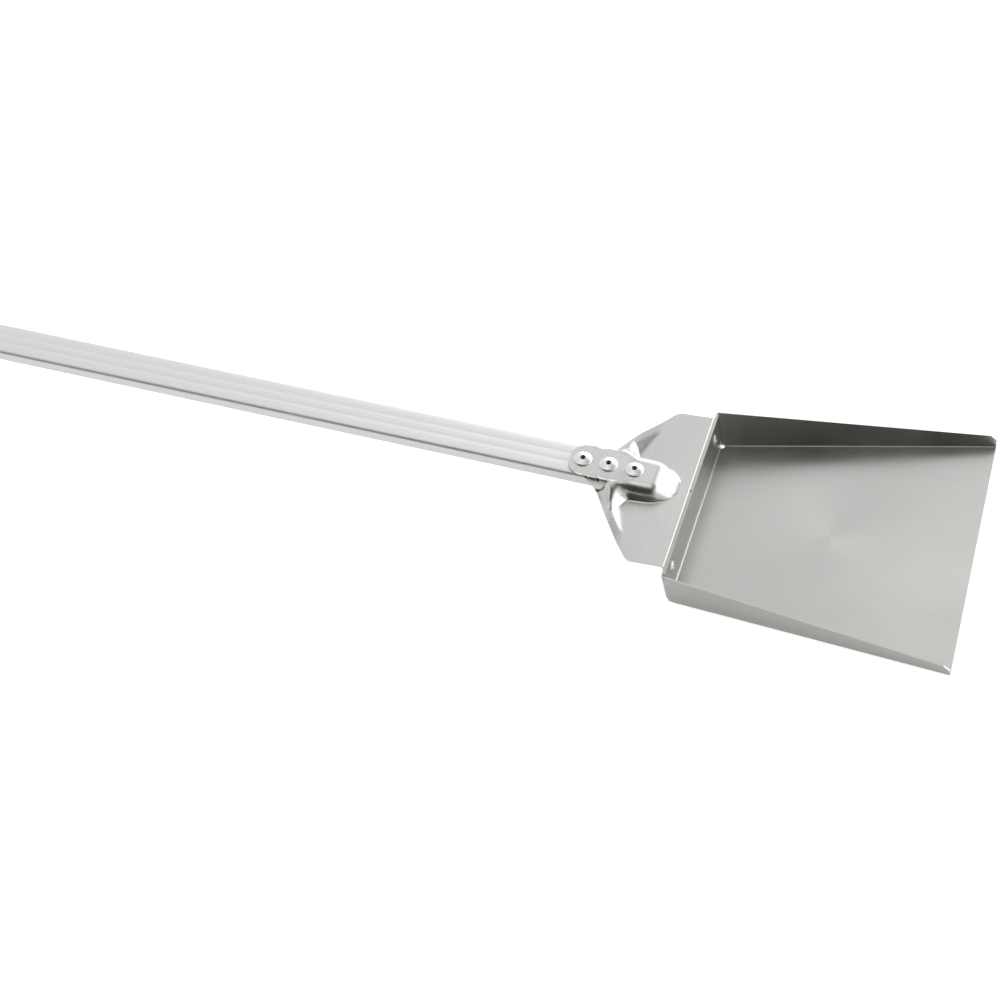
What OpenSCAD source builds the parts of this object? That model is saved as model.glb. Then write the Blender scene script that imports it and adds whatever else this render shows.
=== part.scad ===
// Grain scoop shovel: a folded stainless pan, a pressed stainless neck bracket
// and a flat aluminium handle, held together with blind rivets.
// +X is the open front of the pan, the handle runs towards -X, +Z is up.
// The origin is the middle of the pan's underside. Each part is drawn from the
// back of the pan, and from_back() moves it into place.

/* [Pan] */
// Length of the pan, from the folded tabs to the front edge
pan_length = 235; // [200:1:300]
// Outside width of the pan floor at the back
pan_back_width = 185; // [160:1:220]
// Outside width of the pan floor at the front
pan_front_width = 256; // [230:1:300]
// Height of the walls at the back
wall_back_height = 36.4; // [32:0.1:45]
// Height of the side walls at the front
wall_front_height = 12; // [8:0.5:20]
// How far the side walls lean outwards, in degrees
wall_flare = 8.2; // [4:0.1:12]
// Thickness of the pan's sheet
sheet = 1.2; // [1:0.1:1.5]
// Inside radius of the pan's folds
fold_radius = 1; // [1:0.1:2.5]
// Radius of the relief holes where the folds meet
relief_radius = 2.5; // [2:0.1:3.5]
// Cut across the front top corner of each side wall
corner_cut = 5; // [3:0.5:7]
// Width, at the foot, of the tabs folded behind the back wall
tab_width = 89.8; // [80:0.1:89.8]

/* [Neck bracket] */
// Thickness of the bracket's sheet
bracket_sheet = 1.2; // [1:0.1:1.5]
// Half of the plate's width behind the pan
plate_half = 88; // [80:1:90]
// Length of the plate's parallel part
plate_straight = 31.5; // [28:0.5:36]
// Height of the plate's top at the pan's back
plate_height = 38.2; // [37.8:0.1:39]
// Fall of the plate towards the pan, in degrees
plate_slope = 3.3; // [2:0.1:4]
// Half of the plate's width at its narrow end
plate_narrow_half = 23.5; // [22:0.5:26]
// Distance from the pan's back to the plate's narrow end
plate_narrow_at = 74; // [70:1:78]
// Distance from the pan's back to the root of the tongue
tongue_root_at = 86; // [84:0.5:88]
// Distance from the pan's back to the tip of the tongue
tongue_tip_at = 102; // [100:0.5:104]
// Lowest edge of the flange behind the pan
flange_bottom = 11; // [8:0.5:14]
// Radius of the bracket's fold, at mid sheet
flange_fold = 1.8; // [1.6:0.1:3]

/* [Handle] */
// Width of the handle
handle_width = 35; // [33:0.5:36]
// Thickness of the handle
handle_thickness = 12; // [11:0.5:13]
// Wall of the handle tube
handle_wall = 1.6; // [1.4:0.1:2]
// Radius along the handle's edges
handle_edge = 2.8; // [2:0.1:3.5]
// Fall of the handle towards the pan, in degrees
handle_slope = 7.69; // [7:0.01:8]
// Height of the handle's top, carried on to the pan's back
handle_height = 46.8; // [46:0.1:48]
// Distance from the pan's back to the handle's front end
handle_front_at = 37; // [35:0.5:39]
// Distance from the pan's back to the handle's far end
handle_end_at = 962; // [700:1:1200]
// Radius of the hanging hole
hang_hole_radius = 4; // [3:0.5:5]
// Distance from the handle's far end to the hanging hole
hang_hole_inset = 38; // [30:1:60]

/* [Rivets] */
// Distance from the pan's back to the front handle rivet
handle_rivet_at = 46.7; // [45:0.1:48]
// Spacing of the handle rivets
handle_rivet_pitch = 22.3; // [20:0.1:23]
// Radius of the handle rivets' heads
handle_rivet_head = 8; // [7:0.1:8.5]
// Radius of the handle rivets' holes
handle_rivet_hole = 3.25; // [2.4:0.05:3.4]
// Distance of the wall rivets from the middle
wall_rivet_at = 75; // [72:0.5:78]
// Height of the wall rivets above the pan's underside
wall_rivet_height = 24.4; // [20:0.1:28]
// Radius of the wall rivets' heads
wall_rivet_head = 4.6; // [4:0.1:5.5]
// Radius of the wall rivets' holes
wall_rivet_hole = 2.45; // [2:0.05:3]

/* [Hidden] */
$fn = 48;
stainless = "lightslategray";
aluminium = "gainsboro";
big = 400;
LEFT = 1;
RIGHT = -1;

// Pan: folds
fold_outer = fold_radius + sheet;
side_turn = 90 - wall_flare;
side_yaw = atan((pan_front_width - pan_back_width) / 2 / pan_length);
side_setback = fold_outer * tan(side_turn / 2);
tab_gap = 0.05;
back_face = 2 * sheet + tab_gap;
floor_start = back_face + fold_radius;
side_run = pan_length / cos(side_yaw) + 10;
back_clearance = 0.4;
fold_step = 0.03;
fold_grip = 4;
fold_end = 0.15;

// Pan: the tabs' folds. The skew is measured in the wall, the lean across the shovel.
tab_skew = atan(tan(side_yaw) * cos(side_turn));
tab_turn = atan2(cos(side_yaw) * cos(tab_skew) + sin(side_yaw) * cos(side_turn) * sin(tab_skew),
    sin(side_turn) * sin(side_yaw));
tab_lean = 90 - acos(cos(side_turn) * cos(side_yaw) * cos(tab_skew) + sin(side_yaw) * sin(tab_skew));
tab_fold_at = (fold_outer - side_setback * sin(side_yaw)) / cos(side_yaw);
tab_top = (wall_back_height - fold_outer) / cos(tab_lean);
tab_foot = 3;
tab_end_slant = 4.2;

module from_back() {
    translate([-pan_length / 2, 0, 0]) children();
}

// Distance up the leaning wall, from the end of its fold to a given height
function up_wall(height) = (height - fold_outer * (1 - cos(side_turn))) / sin(side_turn);

// Half width of the floor's flat part at a distance from the back
function floor_half(x) =
    pan_back_width / 2 + x * tan(side_yaw) - side_setback / cos(side_yaw);

// A fold's cross-section. It is a touch thinner than the flats it joins and runs
// a little way into both, so that each pair meets cleanly.
module fold_slice(from, to) {
    steps = 12;
    reach = fold_outer * 2;
    start = from - fold_grip;
    sweep = to - from + 2 * fold_grip;
    intersection() {
        difference() {
            circle(r = fold_outer - fold_step);
            circle(r = fold_radius + fold_step);
        }
        polygon(concat([[0, 0]], [for (i = [0:steps])
            let (a = start + sweep * i / steps) reach * [cos(a), sin(a)]]));
    }
}

// Floor, open at the corners where the folds meet
module pan_floor() {
    linear_extrude(sheet) polygon([
        [floor_start, -floor_half(floor_start)],
        [pan_length, -floor_half(pan_length)],
        [pan_length, floor_half(pan_length)],
        [floor_start, floor_half(floor_start)]]);
}

// Back wall and its fold
module pan_back() {
    fold_half = floor_half(floor_start);
    lean = tan(wall_flare);
    low = 6;
    base_half = pan_back_width / 2 - fold_outer - back_clearance;
    translate([floor_start, fold_half, fold_outer]) rotate([90, 0, 0])
        linear_extrude(2 * fold_half) fold_slice(180, 270);
    translate([sheet + tab_gap, 0, 0]) rotate([90, 0, 90]) linear_extrude(sheet) polygon([
        [-fold_half, fold_outer],
        [fold_half, fold_outer],
        [base_half + low * lean, low],
        [base_half + wall_back_height * lean, wall_back_height],
        [-base_half - wall_back_height * lean, wall_back_height],
        [-base_half - low * lean, low]]);
}

// Moves into the left wall's own plane, with its outer face at z = 0
module in_side_wall() {
    translate([0, pan_back_width / 2, 0]) rotate([0, 0, side_yaw])
        translate([0, -side_setback, fold_outer]) rotate([side_turn, 0, 0])
            translate([0, 0, -fold_outer]) children();
}

// Left side wall with its floor fold
module pan_side() {
    translate([0, pan_back_width / 2, 0]) rotate([0, 0, side_yaw])
        translate([floor_start, -side_setback, fold_outer]) rotate([90, 0, 90])
            linear_extrude(side_run - floor_start)
                fold_slice(-90, side_turn - 90);
    in_side_wall() linear_extrude(sheet) polygon([
        [tab_fold_at, 0],
        [side_run, 0],
        [side_run, up_wall(wall_front_height) - corner_cut],
        [pan_length - corner_cut, up_wall(wall_front_height)],
        [tab_fold_at + tab_top * sin(tab_skew), tab_top * cos(tab_skew)]]);
}

// Tab of the left wall, folded round the corner behind the back wall. The fold
// stands along the wall's leaning rear edge, in the plane across the shovel.
module pan_tab() {
    drop = tan(tab_lean);
    in_side_wall() translate([tab_fold_at, 0, 0]) rotate([0, 0, -tab_skew]) {
        translate([0, tab_top - fold_end, fold_outer]) rotate([90, 0, 0])
            linear_extrude(tab_top - tab_foot - 2 * fold_end)
                fold_slice(270 - tab_turn, 270);
        translate([0, 0, fold_outer]) rotate([0, tab_turn, 0]) translate([0, 0, -fold_outer])
            linear_extrude(sheet) polygon([
                [0, tab_foot],
                [0, tab_top],
                [-tab_width - tab_end_slant, tab_top - (tab_width + tab_end_slant) * drop],
                [-tab_width, tab_foot + 2 - tab_width * drop],
                [-2, tab_foot]]);
    }
}

module scoop_pan() {
    color(stainless) from_back() difference() {
        union() {
            pan_floor();
            pan_back();
            for (flip = [0, 1]) mirror([0, flip, 0]) {
                pan_side();
                pan_tab();
            }
        }
        translate([pan_length, -big / 2, -big / 2]) cube(big);
        for (side = [LEFT, RIGHT]) {
            translate([floor_start, side * floor_half(floor_start), -1])
                cylinder(r = relief_radius, h = fold_outer + 2);
            wall_rivet_place(side) translate([0, 0, -10])
                cylinder(r = wall_rivet_hole, h = 20);
        }
    }
}

// Bracket: heights at mid sheet
bracket_mid = bracket_sheet / 2;
plate_mid = plate_height - bracket_mid / cos(plate_slope);
hood_gap = 0.1;
hood_mid = handle_height + (bracket_mid + hood_gap) / cos(handle_slope);
hood_half = handle_width / 2 + hood_gap + bracket_mid;
tongue_half = hood_half - 0.6;
hood_front_top = 30;
hood_front_foot = 8;
hood_bulge = 1.5;
wing_rise = 4;
wing_band = 6;
plate_belly = 2.6;
plate_corner = 5;

function smooth(q) = let (c = min(1, max(0, q))) c * c * (3 - 2 * c);
function blend(a, b, q) = a + (b - a) * smooth(q);
function between(x, x0, x1) = (x - x0) / (x1 - x0);

// Distances d are measured back from the pan. Each of the hood's measures
// changes smoothly from its tip, past its waist, to its rounded front.
hood_waist = 59;
hood_shoulder = 40;
function plate_z(d) = plate_mid + d * tan(plate_slope);
function hood_full(d) = hood_mid + d * tan(handle_slope) - plate_z(d);
function hood_height(d) = d >= hood_front_top ? hood_full(d)
    : hood_full(hood_front_top) * smooth(between(d, hood_front_foot, hood_front_top));
function hood_widest(d) =
    blend(hood_half + hood_bulge, hood_half, between(d, 44, hood_waist));
function hood_side(d) = hood_widest(d) * (d >= hood_shoulder ? 1
    : sqrt(max(0.02, 1 - pow(1 - between(d, hood_front_foot, hood_shoulder), 2.7))));
function top_radius(d) = blend(9, 2.6, between(d, 44, 58));
function foot_radius(d) = d >= hood_waist ? blend(20, 4, between(d, hood_waist, plate_narrow_at))
    : blend(3, 20, between(d, 46, hood_waist));
function flank_limit(d) = d >= hood_waist ? blend(38, 74, between(d, 60, 67))
    : blend(74, 38, between(d, 46, hood_waist));

// The flank's angle, less steep where the hood is too low for both radii
function flank_angle(d) =
    let (h = hood_height(d), r = top_radius(d) + foot_radius(d), full = flank_limit(d))
    h >= r * (1 - cos(full)) ? full : acos(1 - h / r);
function flank_length(d) =
    let (a = flank_angle(d), r = top_radius(d) + foot_radius(d))
    max(0, (hood_height(d) - r * (1 - cos(a))) / max(sin(a), 0.01));

// Lengths along half a cross-section: flat top, shoulder, flank, foot
function section_marks(d) =
    let (a = flank_angle(d), arc = a * PI / 180,
        flat = max(0.5, hood_side(d) - top_radius(d) * sin(a)),
        s1 = flat, s2 = s1 + top_radius(d) * arc, s3 = s2 + flank_length(d))
    [s1, s2, s3, s3 + foot_radius(d) * arc];

// Point [y, height over the plate] at length s along half a cross-section
function section_point(d, s) =
    let (m = section_marks(d), a = flank_angle(d), h = hood_height(d),
        rt = top_radius(d), rf = foot_radius(d))
    s <= m[0] ? [s, h]
    : s <= m[1] ? let (p = (s - m[0]) / rt * 180 / PI)
        [m[0] + rt * sin(p), h - rt * (1 - cos(p))]
    : let (y2 = m[0] + rt * sin(a), z2 = h - rt * (1 - cos(a)))
    s <= m[2] ? [y2 + (s - m[1]) * cos(a), z2 - (s - m[1]) * sin(a)]
    : let (y3 = y2 + (m[2] - m[1]) * cos(a), z3 = z2 - (m[2] - m[1]) * sin(a))
    s <= m[3] ? let (p = a - (s - m[2]) / rf * 180 / PI)
        [y3 + rf * (sin(a) - sin(p)), z3 - rf * (cos(p) - cos(a))]
    : [y3 + rf * sin(a) + s - m[3], 0];

// Half width of the plate: parallel, a rounded corner, then a slightly full taper
function plate_edge(d) =
    let (q = min(1, between(d, plate_straight, plate_narrow_at)),
        taper = plate_half + (plate_narrow_half - plate_half) * q
            + plate_belly * sin(180 * max(0, q)),
        gap = (plate_half - taper) / plate_corner)
    gap < -1 ? plate_half : gap > 1 ? taper
    : plate_half - plate_corner * (1 + gap) * (1 + gap) / 4;

// The outline's length along the cross-section
function foot_shift(d) = let (m = section_marks(d), far = m[3] + 1) far - section_point(d, far)[0];
function outline(d) =
    d <= plate_narrow_at ? plate_edge(d) + foot_shift(d)
    : d <= tongue_root_at ? let (q = between(d, plate_narrow_at, tongue_root_at))
        (plate_narrow_half + foot_shift(plate_narrow_at)) * (1 - q) + tongue_half * q
    : let (q = between(d, tongue_root_at, tongue_tip_at + 0.4))
        tongue_half * pow(1 - pow(q, 2.4), 1 / 2.4);

// The plate curls up towards its tapered edges, and levels out along them
wing_angle = atan((plate_half - plate_narrow_half) / (plate_narrow_at - plate_straight));
function wing(d, y) =
    let (inset = (plate_edge(d) - abs(y)) * cos(wing_angle),
        width = max(5, 19 - (abs(y) - 20) * 0.4))
    wing_rise * smooth(between(d, 38, 62)) * smooth((width + wing_band - inset) / width)
        * smooth(between(abs(y), 16, 21));

// Columns across a station: some for each stretch of the cross-section
top_columns = 3;
arc_columns = 4;
flank_columns = 2;
plate_columns = 6;
half_columns = top_columns + 2 * arc_columns + flank_columns + plate_columns;
function column_length(d, j) =
    let (m = section_marks(d), end = max(outline(d), m[3] + 2), squeeze = outline(d) / end,
        j1 = top_columns, j2 = j1 + arc_columns, j3 = j2 + flank_columns, j4 = j3 + arc_columns,
        s = j <= j1 ? m[0] * j / j1
            : j <= j2 ? m[0] + (m[1] - m[0]) * (j - j1) / arc_columns
            : j <= j3 ? m[1] + (m[2] - m[1]) * (j - j2) / flank_columns
            : j <= j4 ? m[2] + (m[3] - m[2]) * (j - j3) / arc_columns
            : m[3] + (end - m[3]) * (j - j4) / plate_columns)
    s * squeeze;

// Stations along the hood and the plate, then round the fold and down the flange
hood_stations = concat(
    [for (i = [0:5]) tongue_tip_at - (tongue_tip_at - tongue_root_at) * (1 - cos(i * 15))],
    [for (i = [1:3]) tongue_root_at + (plate_narrow_at - tongue_root_at) * i / 3],
    [for (i = [1:12]) plate_narrow_at + (hood_shoulder - plate_narrow_at) * i / 12],
    [36, plate_straight + 2, plate_straight, plate_straight - 2],
    [for (i = [1:7]) (plate_straight - 2) * (1 - i / 7) + hood_front_foot * i / 7]);
fold_x = bracket_mid + flange_fold;
fold_z = plate_z(fold_x) - flange_fold / cos(plate_slope);
fold_steps = 5;
flange_stations = concat(
    [for (i = [0:fold_steps]) let (a = (90 - plate_slope) * (1 - i / fold_steps))
        [-fold_x + flange_fold * cos(a), fold_z + flange_fold * sin(a), a]],
    [[-bracket_mid, flange_bottom, 0]]);

// A point of the bracket's middle surface, at a distance back and along the section
function hood_point(d, s) =
    let (p = section_point(d, abs(s)))
    [-d, sign(s) * p[0], plate_z(d) + p[1] + wing(d, p[0])];
function unit(v) = v / norm(v);
step = 0.05;
function hood_normal(d, s) =
    unit(cross(hood_point(d - step, s) - hood_point(d + step, s),
        hood_point(d, s + step) - hood_point(d, s - step)));
function hood_skin(d, side) = [for (j = [-half_columns:half_columns])
    let (s = sign(j) * column_length(d, abs(j)))
    hood_point(d, s) + side * bracket_mid * hood_normal(d, s)];
function flange_skin(row, side) = [for (j = [-half_columns:half_columns])
    let (y = sign(j) * column_length(hood_front_foot, abs(j)) * plate_half
        / column_length(hood_front_foot, half_columns))
    [row[0] + side * bracket_mid * cos(row[2]), y, row[1] + side * bracket_mid * sin(row[2])]];

// Closed sheet from two skins of rows, each with the same number of points
module closed_sheet(upper, lower) {
    rows = len(upper);
    columns = len(upper[0]);
    count = rows * columns;
    function at(i, j, skin) = skin * count + i * columns + j;
    top = [for (i = [0:rows - 2]) for (j = [0:columns - 2])
        each [[at(i, j, 0), at(i + 1, j, 0), at(i + 1, j + 1, 0)],
            [at(i, j, 0), at(i + 1, j + 1, 0), at(i, j + 1, 0)]]];
    bottom = [for (i = [0:rows - 2]) for (j = [0:columns - 2])
        each [[at(i, j, 1), at(i + 1, j + 1, 1), at(i + 1, j, 1)],
            [at(i, j, 1), at(i, j + 1, 1), at(i + 1, j + 1, 1)]]];
    sides = [for (i = [0:rows - 2]) each [
        [at(i, 0, 0), at(i, 0, 1), at(i + 1, 0, 1)],
        [at(i, 0, 0), at(i + 1, 0, 1), at(i + 1, 0, 0)],
        [at(i, columns - 1, 0), at(i + 1, columns - 1, 1), at(i, columns - 1, 1)],
        [at(i, columns - 1, 0), at(i + 1, columns - 1, 0), at(i + 1, columns - 1, 1)]]];
    ends = [for (j = [0:columns - 2]) each [
        [at(0, j, 0), at(0, j + 1, 1), at(0, j, 1)],
        [at(0, j, 0), at(0, j + 1, 0), at(0, j + 1, 1)],
        [at(rows - 1, j, 0), at(rows - 1, j, 1), at(rows - 1, j + 1, 1)],
        [at(rows - 1, j, 0), at(rows - 1, j + 1, 1), at(rows - 1, j + 1, 0)]]];
    polyhedron(points = concat([for (row = upper) each row], [for (row = lower) each row]),
        faces = concat(top, bottom, sides, ends));
}

module neck_bracket() {
    color(stainless) from_back() difference() {
        closed_sheet(
            concat([for (d = hood_stations) hood_skin(d, 1)],
                [for (row = flange_stations) flange_skin(row, 1)]),
            concat([for (d = hood_stations) hood_skin(d, -1)],
                [for (row = flange_stations) flange_skin(row, -1)]));
        for (i = [0:2]) handle_rivet_place(i) translate([0, 0, -6])
            cylinder(r = handle_rivet_hole, h = 12);
        for (side = [LEFT, RIGHT]) wall_rivet_place(side) translate([0, 0, -10])
            cylinder(r = wall_rivet_hole, h = 20);
    }
}

// Handle: a flat tube with broad, shallow ribs along its top and bottom. Its front
// corners are snipped off to clear the hood's round shoulders.
rib_count = 3;
rib_rise = 0.2;
rib_pitch = (handle_width - 2 * handle_edge) / rib_count;
rib_round = (rib_pitch * rib_pitch / 4 + rib_rise * rib_rise) / (2 * rib_rise);
handle_inner_edge = handle_edge - handle_wall + 0.4;
snip_width = 8;
snip_length = 20;
cap_lip = 3;
cap_plug = 18;
cap_wall = 1.8;
cap_clearance = 0.15;

// Moves to the handle's top face, with -X along the handle
module on_handle() {
    translate([0, 0, handle_height]) rotate([0, handle_slope, 0]) children();
}

// Distance along the handle that lies a given distance behind the pan
function along(d) = d / cos(handle_slope);

// Rectangle with rounded corners, hanging from y = 0
module soft_rectangle(width, height, edge) {
    for (side = [LEFT, RIGHT]) for (y = [-edge, edge - height])
        translate([side * (width / 2 - edge), y]) circle(r = edge);
    translate([-width / 2, edge - height]) square([width, height - 2 * edge]);
    translate([edge - width / 2, -height]) square([width - 2 * edge, height]);
}

// One rib, as a slice of a wide circle whose crest is at y = 0
module rib() {
    intersection() {
        translate([0, -rib_round]) circle(r = rib_round, $fn = 360);
        translate([-rib_pitch / 2, -2 * rib_rise]) square([rib_pitch, 2 * rib_rise]);
    }
}

module handle_outline() {
    translate([0, -rib_rise])
        soft_rectangle(handle_width, handle_thickness - 2 * rib_rise, handle_edge);
    for (i = [0:rib_count - 1]) translate([(i - (rib_count - 1) / 2) * rib_pitch, 0]) {
        rib();
        translate([0, -handle_thickness]) mirror([0, 1]) rib();
    }
}

module handle_hollow(clearance) {
    translate([0, -handle_wall - clearance]) soft_rectangle(
        handle_width - 2 * (handle_wall + clearance),
        handle_thickness - 2 * (handle_wall + clearance),
        handle_inner_edge);
}

// Draws a handle section between two distances behind the pan
module run_along(from, to) {
    on_handle() translate([-along(from), 0, 0]) rotate([90, 0, -90])
        linear_extrude(along(to) - along(from)) children();
}

module handle_tube() {
    tube_end = handle_end_at - cap_lip;
    color(aluminium) from_back() difference() {
        run_along(handle_front_at, tube_end) difference() {
            handle_outline();
            handle_hollow(0);
        }
        for (i = [0:2]) handle_rivet_place(i) translate([0, 0, -handle_thickness / 2])
            cylinder(r = handle_rivet_hole, h = handle_thickness);
        for (side = [0, 1]) mirror([0, side, 0])
            on_handle() translate([0, 0, -handle_thickness - 5])
                linear_extrude(handle_thickness + 10) polygon([
                    [-along(handle_front_at) + 1, handle_width / 2 - snip_width],
                    [-along(handle_front_at), handle_width / 2 - snip_width],
                    [-along(handle_front_at) - snip_length, handle_width / 2],
                    [-along(handle_front_at) - snip_length, handle_width],
                    [-along(handle_front_at) + 1, handle_width]]);
        on_handle() translate([-along(handle_end_at - hang_hole_inset), 0, -handle_thickness - 5])
            cylinder(r = hang_hole_radius, h = handle_thickness + 10);
    }
}

module handle_end_cap() {
    tube_end = handle_end_at - cap_lip;
    color("dimgray") from_back() {
        run_along(tube_end, handle_end_at)
            soft_rectangle(handle_width, handle_thickness, handle_edge);
        run_along(tube_end - cap_plug, tube_end) difference() {
            handle_hollow(cap_clearance);
            handle_hollow(cap_clearance + cap_wall);
        }
    }
}

// A rivet's measures: [head radius, head rise, rim, shank radius, bore radius,
// bulb radius, bulb length, depth of the snapped stem]
hood_top = hood_gap + bracket_sheet;
shank_clearance = 0.05;
head_gap = 0.02;
stem_fit = 0.03;
handle_rivet_size = [handle_rivet_head, 2.5, 0.9, handle_rivet_hole - shank_clearance,
    2.05, 4.6, 3.4, 2.2];
wall_rivet_size = [wall_rivet_head, 1.6, 0.5, wall_rivet_hole - shank_clearance,
    1.35, 3.6, 3.2, 1.2];

// Handle rivets stand on the hood's top, square to the handle
module handle_rivet_place(i) {
    on_handle() translate([-along(handle_rivet_at + i * handle_rivet_pitch), 0, hood_top])
        children();
}

// Flanged head with a low dome, a shank, and the bulb upset below the grip,
// which is the thickness that the rivet clamps under z = 0
module rivet_body(size, grip) {
    head = size[0];
    rise = size[1];
    rim = size[2];
    shank = size[3];
    bulb = size[5];
    tail = grip + size[6];
    dome = (head * head + (rise - rim) * (rise - rim)) / (2 * (rise - rim));
    rotate_extrude() difference() {
        union() {
            translate([0, head_gap]) square([head, rim - head_gap]);
            intersection() {
                translate([0, rise - dome]) circle(r = dome, $fn = 96);
                translate([0, rim / 2]) square([head, rise]);
            }
            translate([0, -tail]) square([shank, tail + rim]);
            intersection() {
                translate([0, -grip - head_gap - bulb * 0.55]) circle(r = bulb);
                translate([0, -tail]) square([bulb, size[6] - head_gap]);
            }
        }
        translate([-1, -tail - 1]) square([1 + size[4], tail + rise + 2]);
    }
}

// The mandrel left in a rivet: a snapped stem and the head that spread the tail
module rivet_mandrel(size, grip) {
    tail = grip + size[6];
    ball = size[5] * 0.6;
    stem = size[4] - stem_fit;
    translate([0, 0, -tail - ball]) cylinder(r = stem, h = tail + ball + size[1] - size[7]);
    translate([0, 0, -tail - head_gap - ball]) cylinder(r = ball, h = ball);
}

handle_grip = hood_top + handle_wall;
module handle_rivet(i) {
    color(aluminium) from_back() handle_rivet_place(i) rivet_body(handle_rivet_size, handle_grip);
}
module handle_mandrel(i) {
    color("darkgray") from_back() handle_rivet_place(i)
        rivet_mandrel(handle_rivet_size, handle_grip);
}
module handle_rivet_1() { handle_rivet(0); }
module handle_rivet_2() { handle_rivet(1); }
module handle_rivet_3() { handle_rivet(2); }
module handle_mandrel_1() { handle_mandrel(0); }
module handle_mandrel_2() { handle_mandrel(1); }
module handle_mandrel_3() { handle_mandrel(2); }

// Wall rivets: heads inside the pan, tails behind the flange
wall_grip = back_face + bracket_sheet;
module wall_rivet_place(side) {
    translate([back_face, side * wall_rivet_at, wall_rivet_height]) rotate([0, 90, 0]) children();
}
module wall_rivet(side) {
    color(aluminium) from_back() wall_rivet_place(side) rivet_body(wall_rivet_size, wall_grip);
}
module wall_mandrel(side) {
    color("darkgray") from_back() wall_rivet_place(side) rivet_mandrel(wall_rivet_size, wall_grip);
}
module wall_rivet_left() { wall_rivet(LEFT); }
module wall_rivet_right() { wall_rivet(RIGHT); }
module wall_mandrel_left() { wall_mandrel(LEFT); }
module wall_mandrel_right() { wall_mandrel(RIGHT); }

scoop_pan();
neck_bracket();
handle_tube();
handle_end_cap();
handle_rivet_1();
handle_rivet_2();
handle_rivet_3();
handle_mandrel_1();
handle_mandrel_2();
handle_mandrel_3();
wall_rivet_left();
wall_rivet_right();
wall_mandrel_left();
wall_mandrel_right();
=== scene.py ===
"""Grain scoop shovel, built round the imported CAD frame.

Pieces are worked out in millimetres, measured from the back of the pan as the
CAD part is, and piece() turns them into metres in the frame.
"""
from math import acos, asin, atan, atan2, cos, hypot, pi, radians, sin, sqrt, tan

import bmesh
import bpy
from mathutils import Matrix, Vector


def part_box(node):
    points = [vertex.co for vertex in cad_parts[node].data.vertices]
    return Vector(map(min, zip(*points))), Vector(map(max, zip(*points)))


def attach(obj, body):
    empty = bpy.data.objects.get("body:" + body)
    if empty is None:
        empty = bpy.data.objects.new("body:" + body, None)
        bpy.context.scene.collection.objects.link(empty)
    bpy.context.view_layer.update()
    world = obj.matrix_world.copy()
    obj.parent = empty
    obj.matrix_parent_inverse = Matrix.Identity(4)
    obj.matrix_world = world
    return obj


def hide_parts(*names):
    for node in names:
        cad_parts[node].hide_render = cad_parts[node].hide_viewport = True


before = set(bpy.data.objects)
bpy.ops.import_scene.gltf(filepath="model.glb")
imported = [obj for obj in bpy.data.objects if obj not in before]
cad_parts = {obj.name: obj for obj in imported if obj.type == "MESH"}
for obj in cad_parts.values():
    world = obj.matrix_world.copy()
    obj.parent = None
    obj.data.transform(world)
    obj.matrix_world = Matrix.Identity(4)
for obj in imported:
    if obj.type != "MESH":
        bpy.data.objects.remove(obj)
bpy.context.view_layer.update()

MM = 0.001
ROOT = "root"


def box_mm(node):
    """A CAD node's lowest and highest corners, in millimetres from the back of the pan."""
    low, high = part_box(node)
    return low / MM - BACK, high / MM - BACK


BACK = Vector((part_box("scoop_pan")[0].x / MM, 0, 0))
PAN_HIGH = box_mm("scoop_pan")[1]
BRACKET_LOW, BRACKET_HIGH = box_mm("neck_bracket")
TUBE_LOW, TUBE_HIGH = box_mm("handle_tube")


# ---------------------------------------------------------------- dimensions

SHEET = 1.2
FOLD_INSIDE = 1.0
FOLD_OUTSIDE = FOLD_INSIDE + SHEET
WALL_FLARE = radians(8.2)
SIDE_TURN = pi / 2 - WALL_FLARE
PAN_LENGTH = PAN_HIGH.x
PAN_BACK_HALF = 92.5
PAN_FRONT_HALF = 128.0
WALL_BACK = PAN_HIGH.z
WALL_FRONT = 12.0
CORNER_CUT = 5.0
RELIEF = 2.5
TAB_SPLIT = 0.6
TAB_GAP = 0.05
SIDE_YAW = atan((PAN_FRONT_HALF - PAN_BACK_HALF) / PAN_LENGTH)
SIDE_SETBACK = FOLD_OUTSIDE * tan(SIDE_TURN / 2)
BACK_FACE = 2 * SHEET + TAB_GAP
FLOOR_START = BACK_FACE + FOLD_INSIDE

HANDLE_SLOPE = radians(7.69)
HANDLE_HEIGHT = 46.8
HANDLE_WIDTH = TUBE_HIGH.y - TUBE_LOW.y
HANDLE_THICKNESS = 12.0
HANDLE_WALL = 1.6
HANDLE_EDGE = 2.8
HANDLE_FRONT = 37.0
HANDLE_END = 962.0
CAP_LIP = 3.0
HANG_RADIUS = 4.0
HANG_INSET = 38.0

PLATE_SLOPE = radians(3.3)
PLATE_HEIGHT = 38.2
PLATE_HALF = BRACKET_HIGH.y
PLATE_STRAIGHT = 31.5
NARROW_HALF = 23.5
NARROW_AT = 74.0
PLATE_BELLY = 2.6
PLATE_CORNER = 5.0
TONGUE_ROOT = 86.0
TONGUE_TIP = 102.0
FLANGE_BOTTOM = BRACKET_LOW.z
FLANGE_FOLD = 0.8

RIVET_FIRST = 46.7
RIVET_PITCH = 22.3
WALL_RIVET_Y = 75.0
WALL_RIVET_Z = 24.4


def smooth(q):
    q = min(1.0, max(0.0, q))
    return q * q * (3 - 2 * q)


def between(x, x0, x1):
    return (x - x0) / (x1 - x0)


def blend(a, b, q):
    return a + (b - a) * smooth(q)


# ------------------------------------------------------------------ materials

def node_tree(name):
    """A new material, its node tree and its Principled shader."""
    material = bpy.data.materials.new(name)
    material.use_nodes = True
    tree = material.node_tree
    return material, tree, tree.nodes["Principled BSDF"]


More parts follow.
